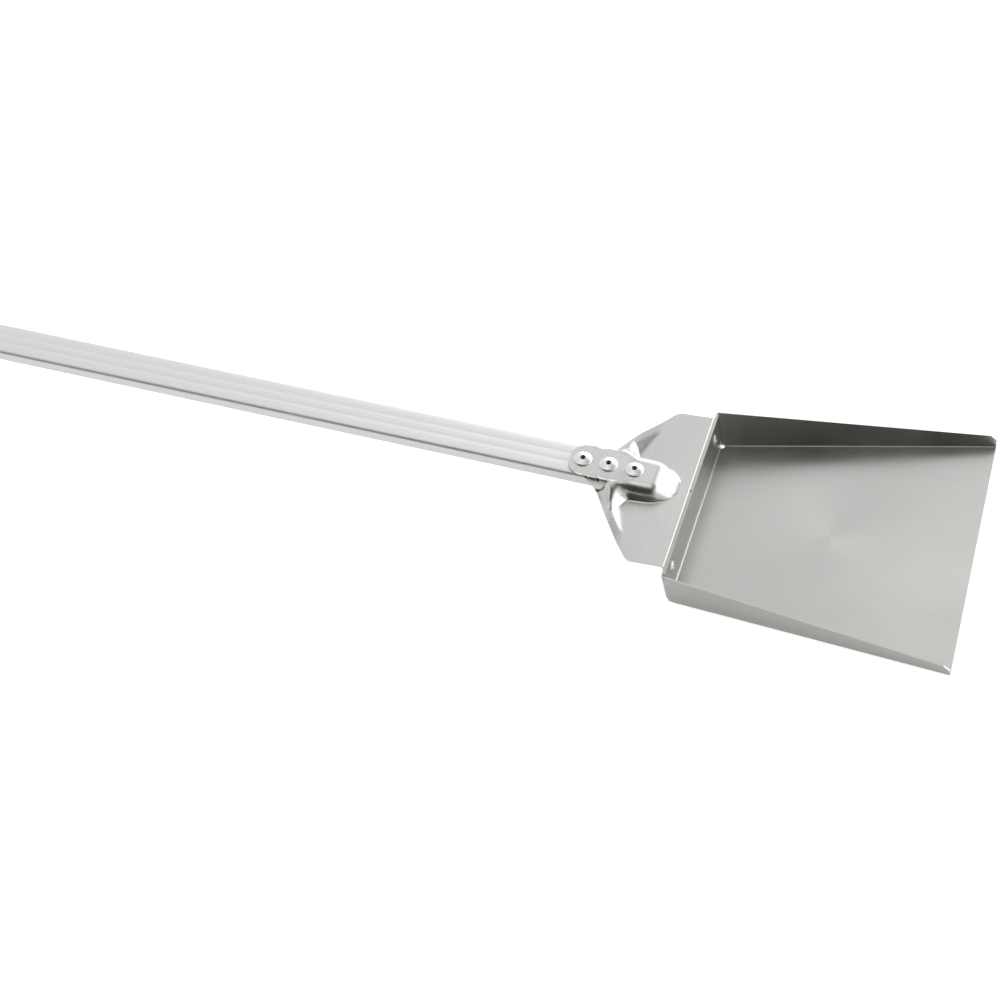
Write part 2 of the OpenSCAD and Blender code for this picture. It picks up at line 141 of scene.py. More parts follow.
def add(tree, kind, inputs=None, **settings):
    """Adds a node, sets its properties, and sets or links its inputs."""
    node = tree.nodes.new("ShaderNode" + kind)
    for key, value in settings.items():
        setattr(node, key, value)
    for key, value in (inputs or {}).items():
        socket = node.inputs[key]
        if isinstance(value, bpy.types.NodeSocket):
            tree.links.new(value, socket)
        else:
            socket.default_value = value
    return node


def math(tree, operation, a, b=0.0, c=0.0, clamp=False):
    return add(tree, "Math", {0: a, 1: b, 2: c}, operation=operation,
               use_clamp=clamp).outputs[0]


def noise(tree, vector, scale, detail=2.0, roughness=0.5, stretch=(1, 1, 1)):
    """Noise over a stretched vector, from 0 to 1."""
    mapped = add(tree, "Mapping", {"Vector": vector, "Scale": stretch}).outputs[0]
    return add(tree, "TexNoise", {"Vector": mapped, "Scale": scale, "Detail": detail,
                                  "Roughness": roughness}).outputs[0]


def ramp(tree, value, low, high, to_low=0.0, to_high=1.0):
    """Maps low..high to to_low..to_high, clamped."""
    return add(tree, "MapRange", {0: value, 1: low, 2: high, 3: to_low, 4: to_high}).outputs[0]


def tint(tree, factor, first, second):
    node = add(tree, "Mix", {0: factor, 6: (*first, 1), 7: (*second, 1)}, data_type="RGBA")
    return node.outputs[2]


def grain_vector(tree):
    """Distance along and across the grain of a sheet, in metres, from its own UV map."""
    return add(tree, "UVMap", uv_map="grain").outputs[0]


def brushed_steel(name, light, dark, rough, grain_depth, ripple):
    """Brushed stainless sheet: fine scratches along the grain over faint mill ripples,
    with smudges that change the gloss a little."""
    material, tree, shader = node_tree(name)
    place = grain_vector(tree)
    fine = noise(tree, place, 1.0, 3, 0.7, (40, 5200, 1))
    coarse = noise(tree, place, 1.0, 2, 0.6, (9, 900, 1))
    ripples = noise(tree, place, 1.0, 2, 0.5, (9, 26, 1))
    smudge = noise(tree, place, 1.0, 4, 0.6, (14, 17, 1))
    scratches = math(tree, "ADD", math(tree, "MULTIPLY", fine, 0.6),
                     math(tree, "MULTIPLY", coarse, 0.4))
    tone = math(tree, "ADD", math(tree, "MULTIPLY", scratches, 0.7),
                math(tree, "MULTIPLY", smudge, 0.3))
    tree.links.new(tint(tree, ramp(tree, tone, 0.35, 0.65), dark, light),
                   shader.inputs["Base Color"])
    tree.links.new(math(tree, "ADD", ramp(tree, smudge, 0.35, 0.7, -0.03, 0.05),
                        ramp(tree, scratches, 0.35, 0.65, rough - 0.02, rough + 0.03)),
                   shader.inputs["Roughness"])
    shader.inputs["Metallic"].default_value = 1.0
    shader.inputs["Anisotropic"].default_value = 0.35
    wave = add(tree, "Bump", {"Strength": ripple, "Distance": 0.0004, "Height": ripples})
    lines = add(tree, "Bump", {"Strength": grain_depth, "Distance": 0.00002,
                               "Height": scratches, "Normal": wave.outputs[0]})
    tree.links.new(lines.outputs[0], shader.inputs["Normal"])
    return material


def anodised_aluminium(name):
    """Clear-anodised extrusion: long die lines and a faint mottle."""
    material, tree, shader = node_tree(name)
    place = grain_vector(tree)
    die_lines = noise(tree, place, 1.0, 3, 0.6, (0.6, 1500, 1))
    broad = noise(tree, place, 1.0, 2, 0.5, (0.5, 240, 1))
    mottle = noise(tree, place, 1.0, 5, 0.65, (90, 130, 1))
    lines = math(tree, "ADD", math(tree, "MULTIPLY", die_lines, 0.5),
                 math(tree, "MULTIPLY", broad, 0.5))
    tone = math(tree, "ADD", math(tree, "MULTIPLY", lines, 0.75),
                math(tree, "MULTIPLY", mottle, 0.25))
    tree.links.new(tint(tree, ramp(tree, tone, 0.35, 0.65), (0.735, 0.755, 0.74),
                        (0.785, 0.805, 0.79)), shader.inputs["Base Color"])
    tree.links.new(ramp(tree, mottle, 0.3, 0.7, 0.42, 0.50), shader.inputs["Roughness"])
    shader.inputs["Metallic"].default_value = 0.85
    bump = add(tree, "Bump", {"Strength": 0.25, "Distance": 0.00003, "Height": lines})
    tree.links.new(bump.outputs[0], shader.inputs["Normal"])
    return material


def turned_metal(name, light, dark, rough, metallic=1.0):
    """Small bright fasteners: fine mottling and light handling marks."""
    material, tree, shader = node_tree(name)
    place = add(tree, "TexCoord").outputs["Object"]
    speck = noise(tree, place, 1400, 3, 0.6)
    dull = noise(tree, place, 260, 3, 0.6)
    tree.links.new(tint(tree, ramp(tree, speck, 0.35, 0.65), dark, light),
                   shader.inputs["Base Color"])
    tree.links.new(ramp(tree, dull, 0.3, 0.7, rough - 0.05, rough + 0.08),
                   shader.inputs["Roughness"])
    shader.inputs["Metallic"].default_value = metallic
    bump = add(tree, "Bump", {"Strength": 0.2, "Distance": 0.00005, "Height": speck})
    tree.links.new(bump.outputs[0], shader.inputs["Normal"])
    return material


def moulded_plastic(name):
    """Black polypropylene with a fine spark-eroded texture."""
    material, tree, shader = node_tree(name)
    place = add(tree, "TexCoord").outputs["Object"]
    texture = noise(tree, place, 2600, 2, 0.5)
    wear = noise(tree, place, 90, 4, 0.6)
    tree.links.new(tint(tree, ramp(tree, wear, 0.4, 0.7), (0.022, 0.022, 0.024),
                        (0.034, 0.034, 0.036)), shader.inputs["Base Color"])
    tree.links.new(ramp(tree, wear, 0.3, 0.7, 0.42, 0.56), shader.inputs["Roughness"])
    bump = add(tree, "Bump", {"Strength": 0.35, "Distance": 0.00008, "Height": texture})
    tree.links.new(bump.outputs[0], shader.inputs["Normal"])
    return material


PAN_STEEL = brushed_steel("pan_steel", (0.57, 0.58, 0.555), (0.53, 0.535, 0.52), 0.33, 0.18, 0.08)
BRACKET_STEEL = brushed_steel("bracket_steel", (0.620, 0.630, 0.610), (0.608, 0.618, 0.598), 0.27,
                              0.03, 0.03)
ALUMINIUM = anodised_aluminium("anodised_aluminium")
RIVET_METAL = turned_metal("rivet_metal", (0.86, 0.86, 0.85), (0.74, 0.74, 0.73), 0.34)
MANDREL_METAL = turned_metal("mandrel_metal", (0.020, 0.020, 0.020), (0.008, 0.008, 0.008), 0.5)
CAP_PLASTIC = moulded_plastic("cap_plastic")


# ------------------------------------------------------------ making of pieces

def piece(name, points, faces, material, nodes, grain=None):
    """A mesh object from points in millimetres from the back of the pan. grain gives each
    point its distance along and across the sheet's grain, in millimetres."""
    mesh = bpy.data.meshes.new(name)
    mesh.from_pydata([(BACK + Vector(p)) * MM for p in points], [], faces)
    if grain:
        layer = mesh.uv_layers.new(name="grain")
        for loop in mesh.loops:
            u, v = grain[loop.vertex_index]
            layer.data[loop.index].uv = (u * MM, v * MM)
    mesh.materials.append(material)
    mesh.validate()
    obj = bpy.data.objects.new(name, mesh)
    bpy.context.scene.collection.objects.link(obj)
    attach(obj, ROOT)
    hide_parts(*nodes)
    return obj


def recalculate(obj):
    """Points every face outwards."""
    work = bmesh.new()
    work.from_mesh(obj.data)
    bmesh.ops.remove_doubles(work, verts=work.verts, dist=0.002 * MM)
    bmesh.ops.recalc_face_normals(work, faces=work.faces)
    work.to_mesh(obj.data)
    work.free()


def soften(obj, width, angle=50, segments=2):
    """Rounds the sharp edges and evens the shading of the flats beside them."""
    obj.data.shade_smooth()
    obj.data.set_sharp_from_angle(angle=radians(angle))
    bevel = obj.modifiers.new("edges", "BEVEL")
    bevel.width = width * MM
    bevel.segments = segments
    bevel.limit_method = "ANGLE"
    bevel.angle_limit = radians(angle)
    bevel.miter_outer = "MITER_ARC"
    weighted = obj.modifiers.new("shading", "WEIGHTED_NORMAL")
    weighted.mode = "FACE_AREA"
    weighted.keep_sharp = True


def thicken(obj, thickness, offset, even=True):
    solid = obj.modifiers.new("thickness", "SOLIDIFY")
    solid.thickness = thickness * MM
    solid.offset = offset
    solid.use_even_offset = even


class Sheet:
    """Grows a folded sheet row by row. A patch is a grid of points, and points that two
    patches share are one point."""

    def __init__(self):
        self.points, self.grain, self.faces, self.seen = [], [], [], {}

    def point(self, position, grain):
        key = tuple(round(c, 3) for c in position)
        if key not in self.seen:
            self.seen[key] = len(self.points)
            self.points.append(tuple(position))
            self.grain.append(grain)
        return self.seen[key]

    def patch(self, rows):
        """rows of (position, grain), each row as long as the others."""
        ids = [[self.point(*entry) for entry in row] for row in rows]
        for above, below in zip(ids, ids[1:]):
            for j in range(len(above) - 1):
                corners = [above[j], below[j], below[j + 1], above[j + 1]]
                face = [c for i, c in enumerate(corners) if c != corners[i - 1]]
                if len(face) > 2:
                    self.faces.append(face)


# ----------------------------------------------------------------- scoop pan

FOLD_STEPS = 8
RELIEF_STEPS = 6


def floor_half(x):
    return PAN_BACK_HALF + x * tan(SIDE_YAW) - SIDE_SETBACK / cos(SIDE_YAW)


def floor_rows():
    """Distances from the back, with the half width of the floor at each."""
    corner = [FLOOR_START + RELIEF * sin(i * pi / 2 / RELIEF_STEPS) for i in range(RELIEF_STEPS)]
    rows = [(x, floor_half(x) - sqrt(max(0, RELIEF ** 2 - (x - FLOOR_START) ** 2)))
            for x in corner]
    start, count = FLOOR_START + RELIEF, 36
    for i in range(count + 1):
        x = start + (PAN_LENGTH - start) * i / count
        rows.append((x, floor_half(x)))
    return rows


def side_frame(side):
    """Unit vectors along a side wall, outwards from it, and its back mould-line corner."""
    along = Vector((cos(SIDE_YAW), side * sin(SIDE_YAW), 0))
    outward = Vector((-sin(SIDE_YAW), side * cos(SIDE_YAW), 0))
    return along, outward, Vector((0, side * PAN_BACK_HALF, 0))


def side_section(turn):
    """Offset outwards from the floor's edge, and height, of a fold's outside face."""
    return FOLD_OUTSIDE * sin(turn), FOLD_OUTSIDE * (1 - cos(turn))


def side_point(side, run, offset, height):
    along, outward, corner = side_frame(side)
    return corner + along * run + outward * (offset - SIDE_SETBACK) + Vector((0, 0, height))


def run_at(x, offset):
    """How far along the wall a point lies that is x from the back."""
    return (x + sin(SIDE_YAW) * (offset - SIDE_SETBACK)) / cos(SIDE_YAW)


def up_wall(height):
    return (height - FOLD_OUTSIDE * (1 - cos(SIDE_TURN))) / sin(SIDE_TURN)


def wall_top(run, tab_run):
    """Length up the wall at a distance along it, with the front corner cut off."""
    front = run_at(PAN_LENGTH, FOLD_OUTSIDE * sin(SIDE_TURN) + WALL_FRONT * tan(WALL_FLARE))
    taper = up_wall(WALL_FRONT) + (up_wall(WALL_BACK) - up_wall(WALL_FRONT)) \
        * between(run, front - CORNER_CUT, tab_run)
    return min(taper, up_wall(WALL_FRONT) - CORNER_CUT + (front - run))


def build_pan():
    sheet = Sheet()
    columns = 24
    rows = floor_rows()
    crown = 0.25

    def floor_point(x, y, half):
        # the open floor is very slightly crowned, as thin sheet is between folds
        rise = crown * max(0.0, 1 - (y / half) ** 2) * smooth(between(x, FLOOR_START, 60)) \
            * smooth(between(x, PAN_LENGTH, 190))
        return ((x, y, rise), (x, y))

    sheet.patch([[floor_point(x, half * j / columns, half) for j in range(-columns, columns + 1)]
                 for x, half in rows])

    # back fold and back wall
    fold_rows = []
    for i in range(FOLD_STEPS + 1):
        turn = pi / 2 * i / FOLD_STEPS
        length = turn * FOLD_OUTSIDE
        half = floor_half(FLOOR_START) - sqrt(max(0, RELIEF ** 2 - length ** 2))
        x = FLOOR_START - FOLD_OUTSIDE * sin(turn)
        z = FOLD_OUTSIDE * (1 - cos(turn))
        fold_rows.append([((x, half * j / columns, z), (FLOOR_START - length, half * j / columns))
                          for j in range(-columns, columns + 1)])
    sheet.patch(fold_rows)
    x = FLOOR_START - FOLD_OUTSIDE
    base_half = PAN_BACK_HALF - FOLD_OUTSIDE - 0.4
    length = pi / 2 * FOLD_OUTSIDE
    wall_rows = [fold_rows[-1]]
    for z in [4.5, 6.0] + [6 + (WALL_BACK - 6) * i / 8 for i in range(1, 9)]:
        half = base_half + z * tan(WALL_FLARE) if z >= 6 else floor_half(FLOOR_START)
        wall_rows.append([((x, half * j / columns, z),
                           (FLOOR_START - length - z, half * j / columns))
                          for j in range(-columns, columns + 1)])
    sheet.patch(wall_rows)

    # the side walls with their folds, then the tabs
    skew = atan(tan(SIDE_YAW) * cos(SIDE_TURN))
    tab_run = (FOLD_OUTSIDE - SIDE_SETBACK * sin(SIDE_YAW)) / cos(SIDE_YAW)
    wall_length = SIDE_TURN * FOLD_OUTSIDE
    for side in (1, -1):
        runs = [(Vector((x, side * half, 0)) - side_frame(side)[2]).dot(side_frame(side)[0])
                for x, half in rows[RELIEF_STEPS:]]
        fold = []
        for i in range(FOLD_STEPS + 1):
            turn = SIDE_TURN * i / FOLD_STEPS
            offset, height = side_section(turn)
            length = turn * FOLD_OUTSIDE
            line = list(runs)
            line[0] = runs[0] - RELIEF / cos(SIDE_YAW) \
                + sqrt(max(0, RELIEF ** 2 - length ** 2)) / cos(SIDE_YAW)
            line[-1] = run_at(PAN_LENGTH, offset)
            if i == 0:
                line[0] = runs[0]
            fold.append([(side_point(side, run, offset, height),
                          (run, side * (floor_half(FLOOR_START) + length))) for run in line])
        # the first row is the floor's own edge
        fold[0] = [((x, side * half, 0), (x, side * half)) for x, half in rows[RELIEF_STEPS:]]
        sheet.patch(fold)

        offset0, height0 = side_section(SIDE_TURN)
        first_run = runs[0] - RELIEF / cos(SIDE_YAW)
        line = [tab_run, (tab_run + first_run) / 2, first_run] + list(runs[1:-1])
        front_cut = run_at(PAN_LENGTH, offset0 + WALL_FRONT * tan(WALL_FLARE)) - CORNER_CUT
        steps = 10
        wall = []
        for i in range(steps + 1):
            row = []
            for k, run in enumerate(line + [front_cut, None]):
                if run is None:
                    up = (up_wall(WALL_FRONT) - CORNER_CUT) * i / steps
                    run = run_at(PAN_LENGTH, offset0 + up * cos(SIDE_TURN))
                else:
                    up = wall_top(run, tab_run) * i / steps
                if k == 0:
                    run += up * sin(skew)
                row.append((side_point(side, run, offset0 + up * cos(SIDE_TURN),
                                       height0 + up * sin(SIDE_TURN)),
                            (run, side * (floor_half(FLOOR_START) + wall_length + up))))
            wall.append(row)
        sheet.patch(wall)
        rear = [row[0] for row in wall[1:]]

        # the tab: its fold turns about the wall's rear edge
        along, outward, _ = side_frame(side)
        up_axis = outward * cos(SIDE_TURN) + Vector((0, 0, sin(SIDE_TURN)))
        inward = outward * -sin(SIDE_TURN) + Vector((0, 0, cos(SIDE_TURN)))
        axis = (up_axis * cos(skew) + along * sin(skew)).normalized()
        forward = (along * cos(skew) - up_axis * sin(skew)).normalized()
        turn_all = atan2(forward.x, inward.x)
        tab = [rear]
        for i in range(1, FOLD_STEPS + 1):
            turn = turn_all * i / FOLD_STEPS
            shift = inward * (FOLD_OUTSIDE * (1 - cos(turn))) - forward * (FOLD_OUTSIDE * sin(turn))
            tab.append([(Vector(p) + shift, (g[0] - FOLD_OUTSIDE * turn, g[1])) for p, g in rear])
        reach = -forward * cos(turn_all) + inward * sin(turn_all)
        level = reach - axis * (reach.z / axis.z)
        for part in (0.03, 0.1, 0.3, 0.6, 1.0):
            line = []
            for p, g in tab[FOLD_STEPS]:
                width = part * (TAB_SPLIT - abs(p.y)) / (side * level.y)
                line.append((p + level * width, (g[0] - width, g[1])))
            tab.append(line)
        sheet.patch(tab)

    obj = piece("pan_sheet", sheet.points, sheet.faces, PAN_STEEL,
                ["scoop_pan"], sheet.grain)
    recalculate_sheet(obj)
    thicken(obj, SHEET, -1, even=False)
    soften(obj, 0.1, 60)
    return obj


def recalculate_sheet(obj):
    """Makes an open sheet's faces agree, with the floor's facing down."""
    work = bmesh.new()
    work.from_mesh(obj.data)
    bmesh.ops.recalc_face_normals(work, faces=work.faces)
    lowest = min(work.faces, key=lambda f: f.calc_center_median().z)
    if lowest.normal.z > 0:
        bmesh.ops.reverse_faces(work, faces=work.faces)
    work.to_mesh(obj.data)
    work.free()


# ------------------------------------------------------------- neck bracket

MID = SHEET / 2
PLATE_MID = PLATE_HEIGHT - MID / cos(PLATE_SLOPE)
HOOD_GAP = 0.1
HOOD_MID = HANDLE_HEIGHT + (MID + HOOD_GAP) / cos(HANDLE_SLOPE)
HOOD_HALF = HANDLE_WIDTH / 2 + HOOD_GAP + MID
HOOD_TOP = 30.0
HOOD_FOOT = 8.0
HOOD_WAIST = 59.0
HOOD_BULGE = 1.5
HOOD_SHOULDER = 40.0
TONGUE_HALF = HOOD_HALF - 0.6
WING_RISE = 4.0
WING_BAND = 6.0
WING_COSINE = cos(atan((PLATE_HALF - NARROW_HALF) / (NARROW_AT - PLATE_STRAIGHT)))


def plate_z(d):
    return PLATE_MID + d * tan(PLATE_SLOPE)


def hood_full(d):
    return HOOD_MID + d * tan(HANDLE_SLOPE) - plate_z(d)


def hood_height(d):
    if d >= HOOD_TOP:
        return hood_full(d)
    return hood_full(HOOD_TOP) * smooth(between(d, HOOD_FOOT, HOOD_TOP))


def hood_side(d):
    half = blend(HOOD_HALF + HOOD_BULGE, HOOD_HALF, between(d, 44, HOOD_WAIST))
    if d >= HOOD_SHOULDER:
        return half
    return half * sqrt(max(0.02, 1 - (1 - between(d, HOOD_FOOT, HOOD_SHOULDER)) ** 2.7))


def top_radius(d):
    return blend(9, 2.6, between(d, 44, 58))


def foot_radius(d):
    if d >= HOOD_WAIST:
        return blend(20, 4, between(d, HOOD_WAIST, NARROW_AT))
    return blend(3, 20, between(d, 46, HOOD_WAIST))


def flank_limit(d):
    if d >= HOOD_WAIST:
        return radians(blend(38, 74, between(d, 60, 67)))
    return radians(blend(74, 38, between(d, 46, HOOD_WAIST)))


class Section:
    """Half of the hood's cross-section at a distance behind the pan."""

    def __init__(self, d):
        self.height = hood_height(d)
        self.top, self.foot = top_radius(d), foot_radius(d)
        radii = self.top + self.foot
        full = flank_limit(d)
        self.angle = full if self.height >= radii * (1 - cos(full)) \
            else acos(1 - self.height / radii)
        flat = max(0.5, hood_side(d) - self.top * sin(self.angle))
        flank = max(0.0, self.height - radii * (1 - cos(self.angle))) / max(sin(self.angle), 0.01)
        shoulder = flat + self.top * self.angle
        self.marks = [flat, shoulder, shoulder + flank, shoulder + flank + self.foot * self.angle]
        self.shift = self.marks[3] + 1 - self.point(self.marks[3] + 1)[0]

    def point(self, s):
        """[y, height over the plate] at length s from the middle."""
        flat, shoulder, flank, foot = self.marks
        if s <= flat:
            return s, self.height
        if s <= shoulder:
            p = (s - flat) / self.top
            return flat + self.top * sin(p), self.height - self.top * (1 - cos(p))
        y = flat + self.top * sin(self.angle)
        z = self.height - self.top * (1 - cos(self.angle))
        if s <= flank:
            return y + (s - shoulder) * cos(self.angle), z - (s - shoulder) * sin(self.angle)
        y += (flank - shoulder) * cos(self.angle)
        z -= (flank - shoulder) * sin(self.angle)
        if s <= foot:
            p = self.angle - (s - flank) / self.foot
            return (y + self.foot * (sin(self.angle) - sin(p)),
                    z - self.foot * (cos(p) - cos(self.angle)))
        return y + self.foot * sin(self.angle) + s - foot, 0.0


def plate_edge(d):
    """Half width of the plate: parallel, a rounded corner, then a slightly full taper."""
    q = min(1.0, between(d, PLATE_STRAIGHT, NARROW_AT))
    taper = PLATE_HALF + (NARROW_HALF - PLATE_HALF) * q + PLATE_BELLY * sin(pi * max(0, q))
    gap = (PLATE_HALF - taper) / PLATE_CORNER
    if gap < -1:
        return PLATE_HALF
    return taper if gap > 1 else PLATE_HALF - PLATE_CORNER * (1 + gap) ** 2 / 4


def outline(d, section):
    """Length along the cross-section to the bracket's cut edge."""
    if d <= NARROW_AT:
        return plate_edge(d) + section.shift
    if d <= TONGUE_ROOT:
        q = between(d, NARROW_AT, TONGUE_ROOT)
        return (NARROW_HALF + Section(NARROW_AT).shift) * (1 - q) + TONGUE_HALF * q
    q = between(d, TONGUE_ROOT, TONGUE_TIP + 0.4)
    return TONGUE_HALF * (1 - q ** 2.4) ** (1 / 2.4)


def wing(d, y):
    """The plate curls up towards its tapered edges, and levels out along them."""
    inset = (plate_edge(d) - abs(y)) * WING_COSINE
    width = max(5.0, 19 - (abs(y) - 20) * 0.4)
    return WING_RISE * smooth(between(d, 38, 62)) * smooth((width + WING_BAND - inset) / width) \
        * smooth(between(abs(y), 16, 21))


COLUMN_COUNTS = (8, 9, 4, 12, 26)
HALF_COLUMNS = sum(COLUMN_COUNTS)


def column_lengths(d, section):
    """Lengths from the middle of one half's columns, some for each stretch."""
    cut = outline(d, section)
    end = max(cut, section.marks[3] + 2)
    stops = [0.0] + section.marks + [end]
    lengths = [0.0]
    for count, low, high in zip(COLUMN_COUNTS, stops, stops[1:]):
        lengths += [low + (high - low) * (i + 1) / count for i in range(count)]
    return [s * cut / end for s in lengths]


def hood_row(d):
    section = Section(d)
    row = []
    for j in range(-HALF_COLUMNS, HALF_COLUMNS + 1):
        s = column_lengths(d, section)[abs(j)] if j else 0.0
        y, height = section.point(s)
        side = 1 if j >= 0 else -1
        row.append(((-d, side * y, plate_z(d) + height + wing(d, y)), (side * s, -d)))
    return row


def spread(start, end, count, first=0):
    return [start + (end - start) * i / count for i in range(first, count + 1)]


def build_bracket():
    stations = [TONGUE_TIP - (TONGUE_TIP - TONGUE_ROOT) * (1 - cos(a))
                for a in spread(radians(2), pi / 2, 14)]
    stations += spread(TONGUE_ROOT, NARROW_AT, 12, 1)
    stations += spread(NARROW_AT, HOOD_SHOULDER, 34, 1)
    stations += spread(HOOD_SHOULDER, PLATE_STRAIGHT - 4, 24, 1)
    stations += spread(PLATE_STRAIGHT - 4, HOOD_FOOT, 22, 1)
    rows = [hood_row(d) for d in stations]
    foot = rows[-1]
    fold_x = MID + FLANGE_FOLD
    fold_z = plate_z(fold_x) - FLANGE_FOLD / cos(PLATE_SLOPE)
    sweep = pi / 2 - PLATE_SLOPE
    for i in range(11):
        a = sweep * (1 - i / 10)
        rows.append([((-fold_x + FLANGE_FOLD * cos(a), p[1], fold_z + FLANGE_FOLD * sin(a)),
                      (g[0], -fold_x + FLANGE_FOLD * (sweep - a))) for p, g in foot])
    for z in spread(fold_z, FLANGE_BOTTOM, 6, 1):
        rows.append([((-MID, p[1], z), (g[0], fold_z - z)) for p, g in foot])
    sheet = Sheet()
    sheet.patch(rows)
    obj = piece("neck_pressing", sheet.points, sheet.faces, BRACKET_STEEL,
                ["neck_bracket"], sheet.grain)
    recalculate_sheet(obj)
    thicken(obj, SHEET, 0)
    soften(obj, 0.1, 60)
    return obj


# ------------------------------------------------------------------- handle

HANDLE_AXIS = Vector((-cos(HANDLE_SLOPE), 0, sin(HANDLE_SLOPE)))
HANDLE_UP = Vector((sin(HANDLE_SLOPE), 0, cos(HANDLE_SLOPE)))
HANDLE_TOP = Vector((0, 0, HANDLE_HEIGHT))


def on_handle(d, y, up):
    """A point d behind the pan, y across, and up from the handle's top face."""
    return HANDLE_TOP + HANDLE_AXIS * (d / cos(HANDLE_SLOPE)) + Vector((0, y, 0)) + HANDLE_UP * up


RIBS = 3
RIB_RISE = 0.2


def rounded_outline(width, thickness, edge, inset=0.0, steps=8):
    """Points round a rounded rectangle that hangs below 0, anticlockwise from the right."""
    half, low = width / 2 - inset, inset - thickness
    radius = max(edge - inset, 0.3)
    points = []
    for cx, cz, start in ((half - radius, -inset - radius, 0), (radius - half, -inset - radius, 90),
                          (radius - half, low + radius, 180), (half - radius, low + radius, 270)):
        for i in range(steps + 1):
            a = radians(start + 90 * i / steps)
            points.append((cx + radius * cos(a), cz + radius * sin(a)))
    return points


def handle_profile():
    """The tube's outside, with three broad ribs across its top and bottom."""
    corners = rounded_outline(HANDLE_WIDTH, HANDLE_THICKNESS - 2 * RIB_RISE, HANDLE_EDGE)
    corners = [(y, z - RIB_RISE) for y, z in corners]
    quarter = len(corners) // 4
    flat = HANDLE_WIDTH / 2 - HANDLE_EDGE
    count = 42
    profile = []
    for side, first in enumerate((0, quarter, 2 * quarter, 3 * quarter)):
        profile += corners[first:first + quarter]
        if side in (0, 2):
            direction = -1 if side == 0 else 1
            base = -RIB_RISE if side == 0 else RIB_RISE - HANDLE_THICKNESS
            for i in range(1, count):
                y = -direction * flat + 2 * direction * flat * i / count
                rib = RIB_RISE * abs(sin(pi * RIBS * (y + flat) / (2 * flat))) ** 0.8
                profile.append((y, base + (rib if side == 0 else -rib)))
    return profile


def build_handle():
    outer = handle_profile()
    inner = rounded_outline(HANDLE_WIDTH, HANDLE_THICKNESS, HANDLE_EDGE, HANDLE_WALL)
    start, end = HANDLE_FRONT, HANDLE_END - CAP_LIP
    around = [0.0]
    for a, b in zip(outer, outer[1:]):
        around.append(around[-1] + hypot(b[0] - a[0], b[1] - a[1]))
    points, grain, faces = [], [], []
    stops = spread(start, end, 12)
    for ring in (outer, inner):
        for d in stops:
            for k, (y, up) in enumerate(ring):
                points.append(on_handle(d, y, up))
                grain.append((d, around[k] if ring is outer else 200 + y))
    n, m, rows = len(outer), len(inner), len(stops)
    for i in range(rows - 1):
        for k in range(n):
            faces.append([i * n + k, (i + 1) * n + k, (i + 1) * n + (k + 1) % n,
                          i * n + (k + 1) % n])
        for k in range(m):
            base = n * rows
            faces.append([base + i * m + k, base + i * m + (k + 1) % m,
                          base + (i + 1) * m + (k + 1) % m, base + (i + 1) * m + k])
    obj = piece("handle_extrusion", points, faces, ALUMINIUM,
                ["handle_tube"], grain)
    close_ends(obj)
    drill(obj, on_handle(HANDLE_END - HANG_INSET, 0, -HANDLE_THICKNESS / 2), HANG_RADIUS)
    soften(obj, 0.25, 50)
    return obj


def close_ends(obj):
    """Joins the outside and inside loops at each end of the tube."""
    work = bmesh.new()
    work.from_mesh(obj.data)
    open_edges = [e for e in work.edges if e.is_boundary]
    for at_front in (True, False):
        middle = sum((v.co.x for e in open_edges for v in e.verts)) / (2 * len(open_edges))
        loops = [e for e in open_edges if (e.verts[0].co.x > middle) == at_front]
        bmesh.ops.bridge_loops(work, edges=loops)
    bmesh.ops.recalc_face_normals(work, faces=work.faces)
    work.to_mesh(obj.data)
    work.free()


def drill(obj, centre, radius):
    """Cuts a round hole square to the handle's face."""
    place = Matrix.Translation((BACK + centre) * MM) \
        @ Matrix.Rotation(HANDLE_SLOPE, 4, "Y")
    work = bmesh.new()
    bmesh.ops.create_cone(work, cap_ends=True, segments=64, radius1=radius * MM,
                          radius2=radius * MM, depth=40 * MM, matrix=place)
    mesh = bpy.data.meshes.new("drill")
    work.to_mesh(mesh)
    work.free()
    cutter = bpy.data.objects.new("drill", mesh)
    bpy.context.scene.collection.objects.link(cutter)
    cut = obj.modifiers.new("hole", "BOOLEAN")
    cut.object = cutter
    cut.operation = "DIFFERENCE"
    cut.solver = "EXACT"
    bpy.context.view_layer.update()
    graph = bpy.context.evaluated_depsgraph_get()
    result = bpy.data.meshes.new_from_object(obj.evaluated_get(graph))
    obj.modifiers.remove(cut)
    obj.data = result
    bpy.data.objects.remove(cutter)
    bpy.data.meshes.remove(mesh)


